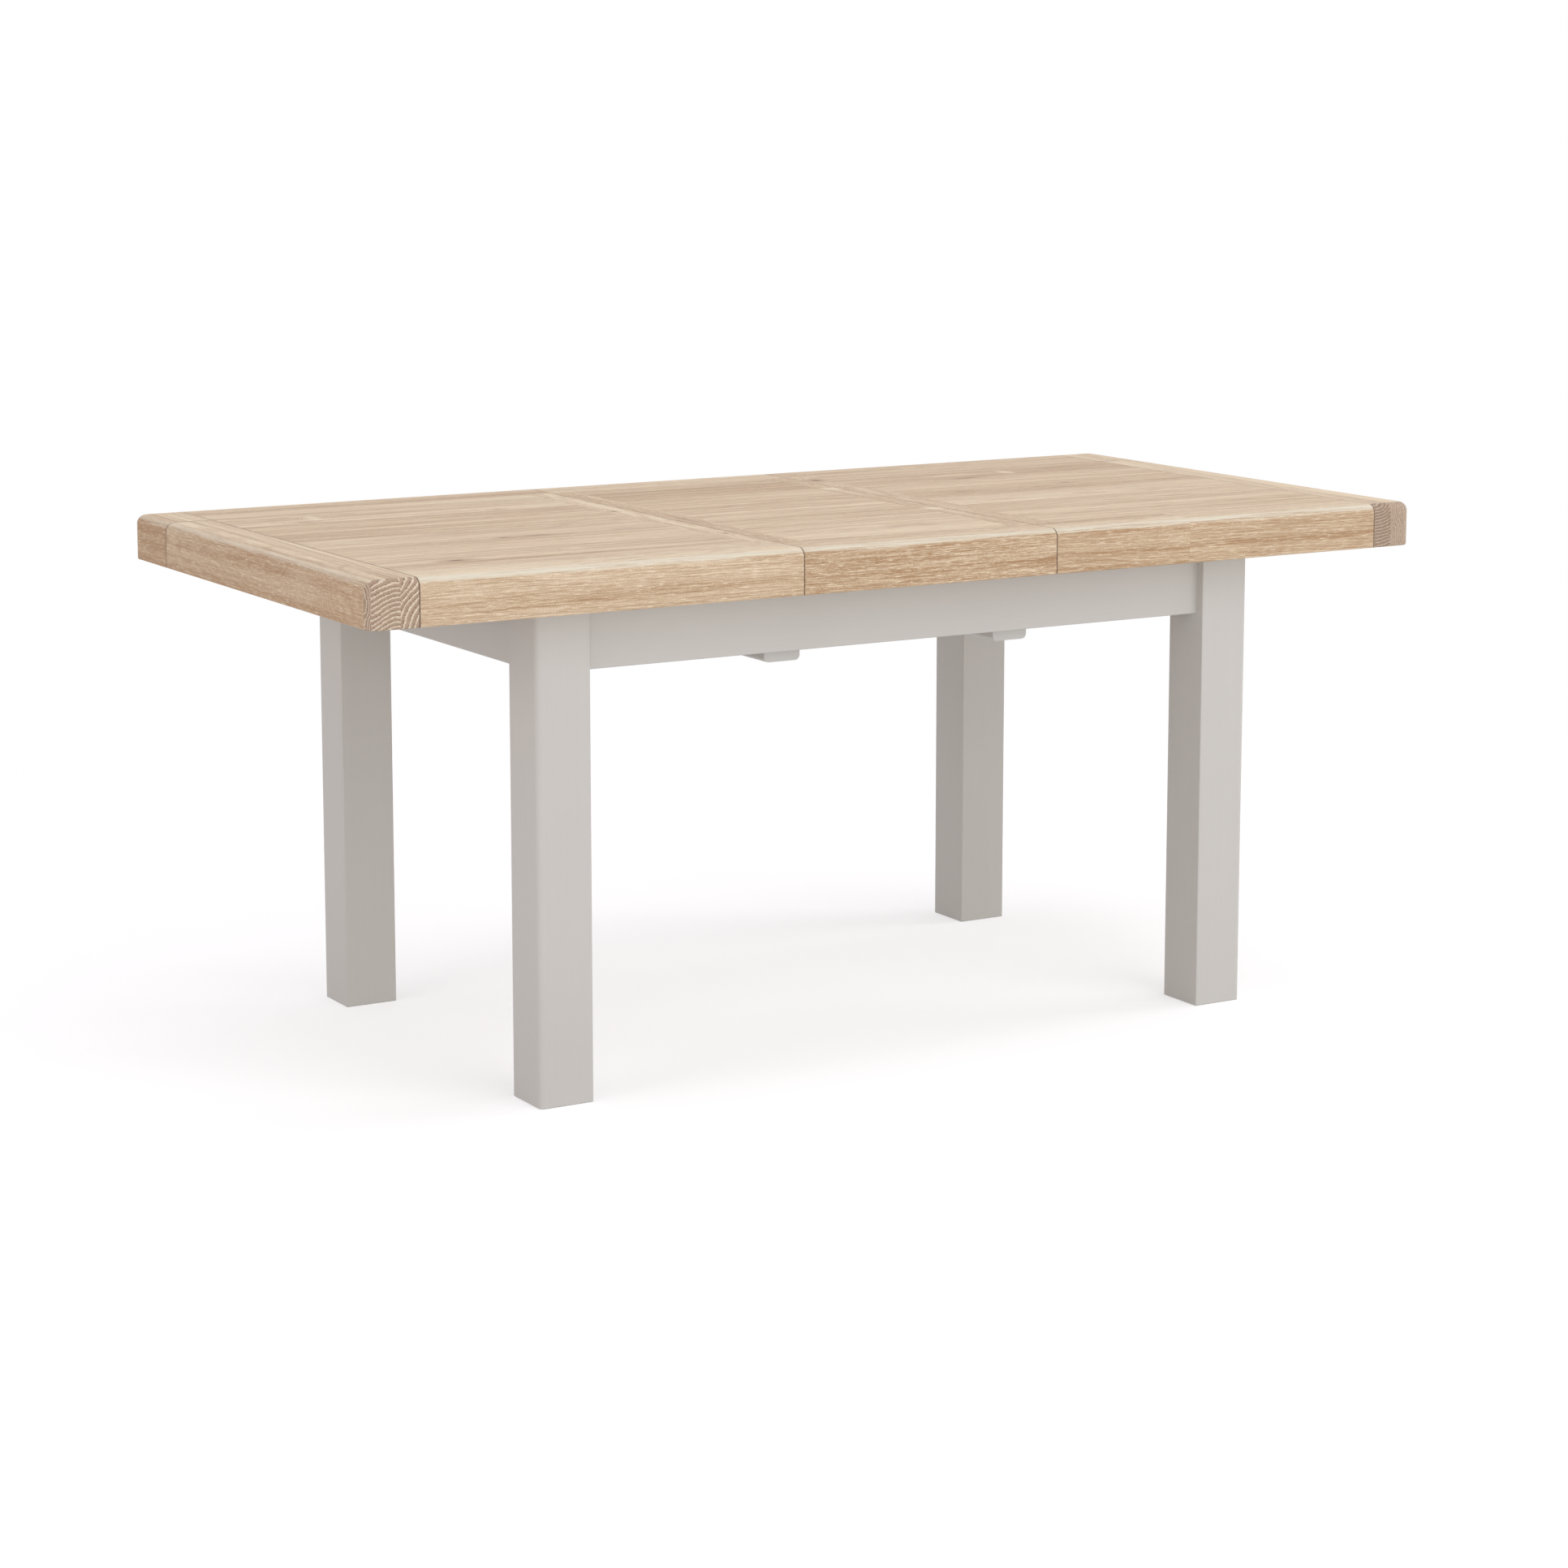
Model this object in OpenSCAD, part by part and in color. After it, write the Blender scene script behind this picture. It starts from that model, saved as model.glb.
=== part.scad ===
// Extending dining table: a painted four-legged frame, two oak half tops that slide on it,
// and a loose oak leaf that drops in between them. Millimetres, +Z up, origin on the floor
// under the middle of the table. Left is -X, right is +X, front is -Y, back is +Y.
// The table is drawn open, with its leaf in.

/* [Overall size] */
// Height of the table
table_h = 780; // [700:5:950]
// Width of the top, front to back
top_w = 870; // [720:5:1060]
// Length of the two half tops together, the leaf left out
closed_l = 1350; // [1120:10:1800]
// Length of the leaf, along the table
leaf_l = 435; // [360:5:530]

/* [Top] */
// Depth of the edge pieces of the top
top_t = 68; // [50:1:82]
// Width of the cleat across each end
cleat_w = 75; // [50:1:100]
// Width of the lipping along the front and the back
lipping_w = 77; // [62:1:100]
// Width of the rail along the seam of each half top
seam_rail_w = 40; // [32:1:60]
// Width of the rail along each seam of the leaf
leaf_rail_w = 36; // [32:1:60]
// Thickness of the panels
panel_t = 24; // [18:1:30]
// Radius of the upper outer edges
top_edge_r = 14; // [4:0.5:20]
// Radius of the four corners, seen from above
top_corner_r = 18; // [15:1:30]
// Radius of the lower outer edges
top_under_r = 2; // [1:0.5:4]
// Gap between the leaf and each half top
leaf_gap = 1; // [0.5:0.1:2]
// Distance of the long glue seam from the back edge
long_seam_in = 133; // [100:1:250]

/* [Joints in the top] */
// Length of the tongue round each panel
tongue_l = 8; // [5:0.5:12]
// Thickness of that tongue
tongue_t = 8; // [5:0.5:10]
// Length of the stub tenons of lippings and rails
stub_l = 20; // [10:1:25]
// Height of those stub tenons
stub_h = 28; // [16:1:34]
// Width of the tenon of a lipping, in the cleat
lipping_stub_w = 30; // [16:1:40]
// Width of the tenon of a rail, in the lipping
rail_stub_w = 14; // [8:1:18]
// Width of the shadow line at a joint that shows
shadow_w = 0.8; // [0.4:0.1:1.5]
// Depth of the shadow line
shadow_d = 1.2; // [0.5:0.1:2]
// Width of the battens under the panels
batten_w = 45; // [30:1:60]
// Radius of the lower edges of battens, runners, guide rails and stops
batten_ease_r = 2; // [1:0.5:3]

/* [Legs and aprons] */
// Overhang of the closed top past the legs
overhang = 58; // [40:1:70]
// Width of the square legs
leg_w = 85; // [70:1:102]
// Radius of the outer corner of a leg
leg_outer_r = 9; // [3:0.5:15]
// Radius of the other edges of a leg
leg_ease_r = 2; // [1:0.5:5]
// Bevel round the foot of a leg
leg_bevel = 1.5; // [0.5:0.5:4]
// Height of the aprons
apron_h = 91; // [84:1:120]
// Thickness of the aprons
apron_t = 22; // [18:1:27]
// Setback of the aprons from the outer faces of the legs
apron_set = 16; // [8:1:20]
// Radius of the lower edges of the aprons
apron_ease_r = 2; // [1:0.5:5]
// Length of the apron tenons in the legs
apron_tenon_l = 28; // [18:1:32]
// Thickness of the apron tenons
apron_tenon_t = 10; // [6:1:12]
// Shoulder above and below an apron tenon
apron_shoulder = 10; // [6:1:20]

/* [Cross rails] */
// Width of a cross rail
cross_w = 60; // [45:1:72]
// Height of a cross rail
cross_h = 36; // [30:1:40]
// Clear distance between the two cross rails
cross_between = 338; // [280:1:410]
// Depth that they hang below the aprons
cross_drop = 18; // [15:1:20]
// Radius of their lower edges
cross_r = 8; // [2:0.5:12]
// Length of their stub tenons in the aprons
cross_tenon_l = 12; // [8:1:14]
// Width of those tenons
cross_tenon_w = 40; // [20:1:42]
// Height of those tenons
cross_tenon_h = 11; // [8:0.5:12]

/* [Corner blocks] */
// Thickness of a corner block
block_t = 24; // [18:1:30]
// Height of a corner block
block_h = 36; // [30:1:40]
// Height of a corner block above the lower edge of the aprons
block_up = 5; // [2:1:8]
// Diameter of the leg bolt
bolt_d = 8; // [6:1:10]
// Depth of the leg bolt in the leg
bolt_in = 42; // [30:1:55]
// Length of the leg bolt past the nut
bolt_tail = 5; // [2:1:10]
// Width of the nut across its flats
nut_w = 13; // [12:1:17]
// Thickness of the nut
nut_t = 6.5; // [5:0.5:8]
// Diameter of the washer
washer_d = 24; // [18:1:28]
// Thickness of the washer
washer_t = 1.6; // [1:0.1:2.5]

/* [Slides] */
// Thickness of the grooved guide rails on the long aprons
guide_t = 30; // [24:1:36]
// Height of the guide rails
guide_h = 43; // [40:1:48]
// Thickness of the runners under the half tops
runner_t = 30; // [24:1:36]
// Height of the runners
runner_h = 38; // [34:1:42]
// Height of the tongue on a runner
runner_tongue_h = 10; // [8:0.5:12]
// Depth of that tongue in the guide rail
runner_tongue_d = 10; // [6:0.5:12]
// Distance of the tongue above the lower face of the runner
runner_tongue_up = 11; // [10:0.5:14]
// Length of the bevel that leads that tongue in at each end
runner_lead = 12; // [4:1:20]
// Distance of a runner from the seam edge of its half top
runner_in = 6; // [4:1:20]
// Thickness of the stop blocks by the legs
stop_t = 20; // [15:1:30]
// Distance that a half top pulls out past the leaf
pull_out = 30; // [15:1:45]
// Distance of each leaf batten from the middle of the leaf
leaf_batten_x = 95; // [70:1:120]
// Height of the blocks that locate the leaf
locator_h = 20; // [12:1:24]
// Thickness of those blocks
locator_t = 25; // [15:1:30]
// Bevel that leads those blocks in between the guide rails
locator_lead = 5; // [2:1:10]

/* [Clearances] */
// Clearance between the frame and the top that slides over it
top_gap = 0.5; // [0.3:0.1:1]
// Clearance round the tongue of a runner
run_gap = 0.5; // [0.3:0.1:0.8]
// Glue gap round a tongue or a tenon
glue_gap = 0.1; // [0.05:0.05:0.2]
// Space left past the end of a tongue or a tenon
end_gap = 0.5; // [0.3:0.1:1]
// Clearance of the leg bolt in the corner block
bolt_gap = 0.5; // [0.3:0.1:1]

/* [Hidden] */

$fn = 64;
oak = [0.83, 0.72, 0.60];
plain_wood = [0.80, 0.70, 0.55];
paint = [0.78, 0.76, 0.74];
steel = [0.62, 0.63, 0.65];

// Overshoot of a cut past the face that it opens
cut = 1;

// Top, front to back and up
half_w = top_w / 2;
panel_y = half_w - lipping_w;
top_z = table_h - top_t;
panel_z = table_h - panel_t;
tongue_z = panel_z + (panel_t - tongue_t) / 2;
stub_z = top_z + (top_t - stub_h) / 2;
long_seam_y = half_w - long_seam_in;

// Half top, along the table, for the right one
seam_x = leaf_l / 2 + leaf_gap;
end_x = seam_x + closed_l / 2;
cleat_x = end_x - cleat_w;
rail_x = seam_x + seam_rail_w;
leaf_x = leaf_l / 2;
leaf_rail_x = leaf_x - leaf_rail_w;

// Frame
leg_x = closed_l / 2 - overhang;
leg_y = half_w - overhang;
leg_in_x = leg_x - leg_w;
leg_in_y = leg_y - leg_w;
frame_z = top_z - top_gap;
apron_z = frame_z - apron_h;
apron_in_x = leg_x - apron_set - apron_t;
apron_in_y = leg_y - apron_set - apron_t;
tenon_h = apron_h - 2 * apron_shoulder;
cross_z = apron_z - cross_drop;
cross_x = (cross_between + cross_w) / 2;
cross_tenon_z = apron_z + (cross_h - cross_drop - cross_tenon_h) / 2;
block_z = apron_z + block_up;
bolt_z = block_z + block_h / 2;

// Slides
guide_y = apron_in_y - guide_t;
guide_z = frame_z - guide_h;
runner_y = guide_y - run_gap - runner_t;
runner_z = top_z - runner_h;
runner_tongue_z = runner_z + runner_tongue_up;
stop_x = leg_in_x - stop_t;
runner_x = seam_x + runner_in;
runner_end_x = stop_x - pull_out - run_gap;
inner_batten_x = runner_end_x - batten_w / 2;
outer_batten_x = (runner_end_x + cleat_x) / 2;

// The leg's inner corner, which each corner block touches, as x + y
block_sum = leg_in_x + leg_in_y + leg_ease_r * (2 - sqrt(2));
// The distance of the block's middle from the leg's middle, along the diagonal
block_off = (leg_x + leg_y - leg_w - block_sum) / sqrt(2);

// ---------- helpers ----------

// A 2D section drawn in Y and Z, carried along X from x0 to x1
module along_x(x0, x1) {
  translate([x0, 0, 0]) rotate([90, 0, 90]) linear_extrude(x1 - x0) children();
}

// A 2D section drawn in X and Z, carried along Y from y0 to y1
module along_y(y0, y1) {
  translate([0, y1, 0]) rotate([90, 0, 0]) linear_extrude(y1 - y0) children();
}

// A box between two opposite corners
module box(low, high) {
  translate(low) cube(high - low);
}

// What rounding takes off a corner that points to +x +y
module corner_cut(r) {
  difference() {
    translate([-r, -r]) square(r + cut);
    translate([-r, -r]) circle(r);
  }
}

// Section of an edge piece, w wide, its rounded outer edges at x = w
module edge_section(w) {
  difference() {
    square([w, top_t]);
    translate([w, top_t]) corner_cut(top_edge_r);
    translate([w, 0]) mirror([0, 1]) corner_cut(top_under_r);
  }
}

// Section of a board in Y or X and Z, its lower edges eased
module board_section(low, wide, z0, z1, r) {
  difference() {
    translate([low, z0]) square([wide, z1 - z0]);
    translate([low + wide, z0]) mirror([0, 1]) corner_cut(r);
    translate([low, z0]) rotate(180) corner_cut(r);
  }
}

// Section through the whole top from front to back, drawn in by inset all round
module top_section(inset) {
  r = top_edge_r - inset;
  difference() {
    translate([-half_w + inset, top_z + inset]) square([top_w - 2 * inset, top_t - 2 * inset]);
    for (side = [0, 1]) mirror([side, 0]) translate([half_w - inset, table_h - inset]) corner_cut(r);
  }
}

// The shadow line round the top on the far side of the plane at x
module shadow_line(x) {
  difference() {
    along_x(x, x + shadow_w) translate([-top_w, top_z - cut]) square([2 * top_w, top_t + 2 * cut]);
    along_x(x - cut, x + shadow_w + cut) top_section(shadow_d);
  }
}

// The fine line of the long glue seam, over the top and down both ends
module long_seam() {
  reach = end_x + cut;
  inside = end_x - shadow_d;
  along_y(long_seam_y - shadow_w / 2, long_seam_y + shadow_w / 2) difference() {
    translate([-reach, top_z - cut]) square([2 * reach, top_t + 2 * cut]);
    difference() {
      translate([-inside, top_z - 2 * cut]) square([2 * inside, top_t + 2 * cut - shadow_d]);
      for (side = [0, 1]) mirror([side, 0]) translate([inside, table_h - shadow_d])
        corner_cut(top_edge_r - shadow_d);
    }
  }
}

// A panel from x0 to x1 with its tongue all round
module panel(x0, x1) {
  difference() {
    box([x0, -panel_y, panel_z], [x1, panel_y, table_h]);
    long_seam();
  }
  box([x0 - tongue_l, -panel_y - tongue_l, tongue_z],
      [x1 + tongue_l, panel_y + tongue_l, tongue_z + tongue_t]);
}

// The groove that takes the tongue of that panel
module panel_groove(x0, x1) {
  out = tongue_l + end_gap;
  box([x0 - out, -panel_y - out, tongue_z - glue_gap],
      [x1 + out, panel_y + out, tongue_z + tongue_t + glue_gap]);
}

// The stub tenon at the end of a right half's lipping, at the back, grown by gap
module lipping_stub(gap, past) {
  middle = half_w - lipping_w / 2;
  box([cleat_x - cut, middle - lipping_stub_w / 2 - gap, stub_z - gap],
      [cleat_x + stub_l + past, middle + lipping_stub_w / 2 + gap, stub_z + stub_h + gap]);
}

// The two stub tenons of a rail from x0 to x1, in one bar, grown by gap
module rail_stubs(x0, x1, gap, past) {
  middle = (x0 + x1) / 2;
  reach = panel_y + stub_l + past;
  box([middle - rail_stub_w / 2 - gap, -reach, stub_z - gap],
      [middle + rail_stub_w / 2 + gap, reach, stub_z + stub_h + gap]);
}

// ---------- top pieces ----------

// Right end cleat: the full width of the top, its outer corners round
module cleat() {
  round_x = end_x - top_corner_r;
  round_y = half_w - top_corner_r;
  difference() {
    union() {
      along_x(cleat_x, round_x) difference() {
        top_section(0);
        for (side = [0, 1]) mirror([side, 0]) translate([half_w, top_z]) mirror([0, 1])
          corner_cut(top_under_r);
      }
      along_y(-round_y, round_y) translate([round_x, top_z]) edge_section(top_corner_r);
      for (side = [0, 1]) mirror([0, side, 0]) translate([round_x, round_y, top_z])
        rotate_extrude(angle = 90) edge_section(top_corner_r);
    }
    shadow_line(cleat_x);
    panel_groove(rail_x, cleat_x);
    for (side = [0, 1]) mirror([0, side, 0]) lipping_stub(glue_gap, end_gap);
    long_seam();
  }
}

// Back lipping from x0 to x1
module lipping(x0, x1) {
  along_x(x0, x1) translate([panel_y, top_z]) edge_section(lipping_w);
}

// Back lipping of the right half top
module half_lipping() {
  difference() {
    lipping(seam_x, cleat_x);
    panel_groove(rail_x, cleat_x);
    rail_stubs(seam_x, rail_x, glue_gap, end_gap);
  }
  lipping_stub(0, 0);
}

// A rail along a seam, from x0 to x1, without its groove
module rail(x0, x1) {
  box([x0, -panel_y, top_z], [x1, panel_y, table_h]);
  rail_stubs(x0, x1, 0, 0);
}

// Seam rail of the right half top
module seam_rail() {
  difference() {
    rail(seam_x, rail_x);
    panel_groove(rail_x, cleat_x);
    long_seam();
  }
}

// A batten under a panel, centred at x
module batten(x) {
  along_y(-panel_y, panel_y) board_section(x - batten_w / 2, batten_w, top_z, panel_z, batten_ease_r);
}

// Back runner of the right half top, its bevelled tongue in the guide rail
module runner() {
  tip = guide_y + runner_tongue_d;
  along_x(runner_x, runner_end_x) board_section(runner_y, runner_t, runner_z, top_z, batten_ease_r);
  translate([0, 0, runner_tongue_z]) linear_extrude(runner_tongue_h) polygon([
    [runner_x, runner_y], [runner_x, guide_y], [runner_x + runner_lead, tip],
    [runner_end_x - runner_lead, tip], [runner_end_x, guide_y], [runner_end_x, runner_y]
  ]);
}

// Back lipping of the leaf
module leaf_lipping() {
  difference() {
    lipping(-leaf_x, leaf_x);
    panel_groove(-leaf_rail_x, leaf_rail_x);
    for (side = [0, 1]) mirror([side, 0, 0]) rail_stubs(leaf_rail_x, leaf_x, glue_gap, end_gap);
  }
}

// Right rail of the leaf
module leaf_rail() {
  difference() {
    rail(leaf_rail_x, leaf_x);
    panel_groove(-leaf_rail_x, leaf_rail_x);
    long_seam();
  }
}

// The four blocks under the leaf battens that sit between the guide rails
module leaf_locators() {
  out = guide_y - run_gap;
  low = top_z - locator_h;
  color(plain_wood)
    for (sx = [0, 1], sy = [0, 1]) mirror([sx, 0, 0]) mirror([0, sy, 0])
      along_x(leaf_batten_x - batten_w / 2, leaf_batten_x + batten_w / 2) polygon([
        [out - locator_t, low], [out - locator_lead, low], [out, low + locator_lead],
        [out, top_z], [out - locator_t, top_z]
      ]);
}

// ---------- frame pieces ----------

// A tenon space in the back right leg or on an apron, grown by gap
module long_apron_tenon(gap, past) {
  middle = apron_in_y + apron_t / 2;
  box([leg_in_x - cut, middle - apron_tenon_t / 2 - gap, apron_z + apron_shoulder - gap],
      [leg_in_x + apron_tenon_l + past, middle + apron_tenon_t / 2 + gap,
       apron_z + apron_shoulder + tenon_h + gap]);
}

module end_apron_tenon(gap, past) {
  middle = apron_in_x + apron_t / 2;
  box([middle - apron_tenon_t / 2 - gap, leg_in_y - cut, apron_z + apron_shoulder - gap],
      [middle + apron_tenon_t / 2 + gap, leg_in_y + apron_tenon_l + past,
       apron_z + apron_shoulder + tenon_h + gap]);
}

// Back right leg: outer corner well rounded, other edges eased, foot bevelled
module leg() {
  color(paint) difference() {
    linear_extrude(frame_z) difference() {
      translate([leg_in_x, leg_in_y]) square(leg_w);
      translate([leg_x, leg_y]) corner_cut(leg_outer_r);
      translate([leg_x, leg_in_y]) mirror([0, 1]) corner_cut(leg_ease_r);
      translate([leg_in_x, leg_y]) mirror([1, 0]) corner_cut(leg_ease_r);
      translate([leg_in_x, leg_in_y]) rotate(180) corner_cut(leg_ease_r);
    }
    for (turn = [0:90:270])
      translate([leg_x - leg_w / 2, leg_y - leg_w / 2, 0]) rotate(turn) foot_bevel();
    long_apron_tenon(glue_gap, end_gap);
    end_apron_tenon(glue_gap, end_gap);
    on_diagonal() bolt_shape(bolt_d + 2 * glue_gap, cut, bolt_in + end_gap);
  }
}

// What the bevel takes off one side of a foot
module foot_bevel() {
  side = leg_bevel * sqrt(2);
  translate([leg_w / 2, -leg_w, 0]) rotate([0, 45, 0])
    translate([-side / 2, 0, -side / 2]) cube([side, 2 * leg_w, side]);
}

// Back apron
module long_apron() {
  color(paint) difference() {
    union() {
      along_x(-leg_in_x, leg_in_x) board_section(apron_in_y, apron_t, apron_z, frame_z, apron_ease_r);
      for (side = [0, 1]) mirror([side, 0, 0]) long_apron_tenon(0, 0);
    }
    for (side = [0, 1]) mirror([side, 0, 0]) cross_rail_tenon(glue_gap, end_gap);
  }
}

// Right apron
module end_apron() {
  color(paint) {
    along_y(-leg_in_y, leg_in_y) board_section(apron_in_x, apron_t, apron_z, frame_z, apron_ease_r);
    for (side = [0, 1]) mirror([0, side, 0]) end_apron_tenon(0, 0);
  }
}

// The stub tenon at the back end of the right cross rail, grown by gap
module cross_rail_tenon(gap, past) {
  box([cross_x - cross_tenon_w / 2 - gap, apron_in_y - cut, cross_tenon_z - gap],
      [cross_x + cross_tenon_w / 2 + gap, apron_in_y + cross_tenon_l + past,
       cross_tenon_z + cross_tenon_h + gap]);
}

// Right cross rail, its lower edges rounded
module cross_rail() {
  color(paint) {
    along_y(-apron_in_y, apron_in_y)
      board_section(cross_x - cross_w / 2, cross_w, cross_z, cross_z + cross_h, cross_r);
    for (side = [0, 1]) mirror([0, side, 0]) cross_rail_tenon(0, 0);
  }
}

// Back guide rail: grooved along its inner face
module guide_rail() {
  groove_z = runner_tongue_z - run_gap;
  color(plain_wood) difference() {
    along_x(-leg_in_x, leg_in_x) board_section(guide_y, guide_t, guide_z, frame_z, batten_ease_r);
    box([-leg_in_x - cut, guide_y - cut, groove_z],
        [leg_in_x + cut, guide_y + runner_tongue_d + run_gap,
         groove_z + runner_tongue_h + 2 * run_gap]);
  }
}

// The four blocks that stop the runners short of the legs
module slide_stops() {
  color(plain_wood)
    for (sx = [0, 1], sy = [0, 1]) mirror([sx, 0, 0]) mirror([0, sy, 0])
      along_x(stop_x, leg_in_x)
        board_section(runner_y, guide_y - runner_y, runner_z, frame_z, batten_ease_r);
}

// Back right corner block: across the corner, tight to the leg and both aprons
module corner_block() {
  in_sum = block_sum - block_t * sqrt(2);
  color(plain_wood) difference() {
    translate([0, 0, block_z]) linear_extrude(block_h) polygon([
      [block_sum - apron_in_y, apron_in_y],
      [apron_in_x, block_sum - apron_in_x],
      [apron_in_x, in_sum - apron_in_x],
      [in_sum - apron_in_y, apron_in_y]
    ]);
    on_diagonal() bolt_shape(bolt_d + 2 * bolt_gap, block_t + cut, cut);
  }
}

// Puts its children on the back right leg's diagonal: x = 0 where the leg bolt leaves the
// corner block for the leg, +X into the leg
module on_diagonal() {
  translate([leg_x - leg_w / 2, leg_y - leg_w / 2, bolt_z]) rotate(45)
    translate([-block_off, 0, 0]) children();
}

// A round bar along the diagonal, from back before x = 0 to ahead past it
module bolt_shape(d, back, ahead) {
  translate([-back, 0, 0]) rotate([0, 90, 0]) cylinder(d = d, h = back + ahead);
}

// One of its children at each of the four legs
module at_four_legs() {
  for (sx = [0, 1], sy = [0, 1]) mirror([sx, 0, 0]) mirror([0, sy, 0]) on_diagonal() children();
}

module leg_bolts() {
  color(steel) at_four_legs() bolt_shape(bolt_d, block_t + washer_t + nut_t + bolt_tail, bolt_in);
}

module leg_washers() {
  color(steel) at_four_legs() difference() {
    bolt_shape(washer_d, block_t + washer_t, -block_t);
    bolt_shape(bolt_d, block_t + washer_t + cut, cut);
  }
}

module leg_nuts() {
  near = block_t + washer_t;
  color(steel) at_four_legs() difference() {
    translate([-near - nut_t, 0, 0]) rotate([0, 90, 0]) cylinder(d = nut_w / cos(30), h = nut_t, $fn = 6);
    bolt_shape(bolt_d, near + nut_t + cut, cut);
  }
}

// ---------- nodes ----------

module back() children();
module front() mirror([0, 1, 0]) children();
module right() children();
module left() mirror([1, 0, 0]) children();

front() left() leg();  // leg_front_left
front() right() leg();  // leg_front_right
back() left() leg();  // leg_back_left
back() right() leg();  // leg_back_right
front() long_apron();  // apron_front
back() long_apron();  // apron_back
left() end_apron();  // apron_left
right() end_apron();  // apron_right
left() cross_rail();  // cross_rail_left
right() cross_rail();  // cross_rail_right
front() guide_rail();  // guide_rail_front
back() guide_rail();  // guide_rail_back
front() left() corner_block();  // corner_block_front_left
front() right() corner_block();  // corner_block_front_right
back() left() corner_block();  // corner_block_back_left
back() right() corner_block();  // corner_block_back_right
slide_stops();
leg_bolts();
leg_nuts();
leg_washers();

color(oak) left() cleat();  // left_cleat
color(oak) left() front() half_lipping();  // left_lipping_front
color(oak) left() back() half_lipping();  // left_lipping_back
color(oak) left() seam_rail();  // left_seam_rail
color(oak) left() panel(rail_x, cleat_x);  // left_panel
color(plain_wood) left() batten(inner_batten_x);  // left_inner_batten
color(plain_wood) left() batten(outer_batten_x);  // left_outer_batten
color(plain_wood) left() front() runner();  // left_runner_front
color(plain_wood) left() back() runner();  // left_runner_back

color(oak) right() cleat();  // right_cleat
color(oak) right() front() half_lipping();  // right_lipping_front
color(oak) right() back() half_lipping();  // right_lipping_back
color(oak) right() seam_rail();  // right_seam_rail
color(oak) right() panel(rail_x, cleat_x);  // right_panel
color(plain_wood) right() batten(inner_batten_x);  // right_inner_batten
color(plain_wood) right() batten(outer_batten_x);  // right_outer_batten
color(plain_wood) right() front() runner();  // right_runner_front
color(plain_wood) right() back() runner();  // right_runner_back

color(oak) front() leaf_lipping();  // leaf_lipping_front
color(oak) back() leaf_lipping();  // leaf_lipping_back
color(oak) left() leaf_rail();  // leaf_rail_left
color(oak) right() leaf_rail();  // leaf_rail_right
color(oak) panel(-leaf_rail_x, leaf_rail_x);  // leaf_panel
color(plain_wood) left() batten(leaf_batten_x);  // leaf_batten_left
color(plain_wood) right() batten(leaf_batten_x);  // leaf_batten_right
leaf_locators();
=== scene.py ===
"""The looks of the extending dining table: limed oak, stone grey paint, plain beech and zinc.

Everything is in metres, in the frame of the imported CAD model: +X along the table, +Y to the back, +Z up.
"""

import math

import bmesh
import bpy
from mathutils import Matrix, Vector


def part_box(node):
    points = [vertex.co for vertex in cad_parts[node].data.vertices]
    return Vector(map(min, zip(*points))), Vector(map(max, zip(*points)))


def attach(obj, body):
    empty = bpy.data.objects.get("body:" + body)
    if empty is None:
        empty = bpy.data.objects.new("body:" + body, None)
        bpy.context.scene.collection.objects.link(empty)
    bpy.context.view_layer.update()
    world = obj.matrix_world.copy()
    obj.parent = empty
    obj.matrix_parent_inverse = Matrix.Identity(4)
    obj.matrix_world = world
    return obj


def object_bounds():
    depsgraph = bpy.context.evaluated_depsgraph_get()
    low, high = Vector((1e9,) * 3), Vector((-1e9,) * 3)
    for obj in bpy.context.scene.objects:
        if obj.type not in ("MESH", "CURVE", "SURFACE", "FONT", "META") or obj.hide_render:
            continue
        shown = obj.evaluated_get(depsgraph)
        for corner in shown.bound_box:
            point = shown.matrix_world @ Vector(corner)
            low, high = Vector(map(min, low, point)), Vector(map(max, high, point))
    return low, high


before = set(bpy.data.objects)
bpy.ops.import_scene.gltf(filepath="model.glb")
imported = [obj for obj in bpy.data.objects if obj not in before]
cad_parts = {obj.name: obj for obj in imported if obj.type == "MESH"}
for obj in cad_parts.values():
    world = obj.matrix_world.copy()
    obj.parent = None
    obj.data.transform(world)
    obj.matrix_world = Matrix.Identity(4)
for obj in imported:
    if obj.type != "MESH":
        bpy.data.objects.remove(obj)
cad_low, cad_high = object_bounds()

MM = 0.001

# The camera stands in front of the table's left end, a little above the top. Lens and sensor are in millimetres.
CAMERA_PLACE = (-2.896, -4.911, 1.460)
CAMERA_YAW = math.radians(30.57)
CAMERA_PITCH = math.radians(8.65)
CAMERA_LENS = 85.0
CAMERA_SENSOR = 36.0
CAMERA_SHIFT_UP = -0.10
CAMERA_FAR = 60.0

# Colours are linear.
OAK_DEEP = (0.431, 0.268, 0.140)
OAK_PALE = (0.842, 0.712, 0.516)
OAK_LIME = (0.910, 0.798, 0.591)
OAK_LINE = (0.391, 0.247, 0.139)
OAK_KNOT = (0.196, 0.106, 0.060)
# The next colour is a painted highlight for the rounded upper edges of the oak.
OAK_EDGE_HIGHLIGHT = (0.790, 0.760, 0.620)
END_LIME = (0.820, 0.725, 0.570)
END_WOOD = (0.500, 0.375, 0.265)
END_PORE = (0.215, 0.140, 0.095)
# The next colour is painted shade for the grooves and gaps at the joints.
JOINT_SHADE = (0.110, 0.080, 0.060)
BEECH_LIGHT = (0.640, 0.470, 0.310)
BEECH_DARK = (0.520, 0.350, 0.215)
PAINT = (0.637, 0.632, 0.591)
ZINC = (0.600, 0.600, 0.590)
FLOOR_WHITE = (0.82, 0.82, 0.81)
FLOOR_GLOW = (0.96, 1.0, 1.03)
FLOOR_GLOW_STRENGTH = 0.44
SKY_DIM = (0.573, 0.531, 0.551)
WHITE = (1.0, 1.0, 1.0)

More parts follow.
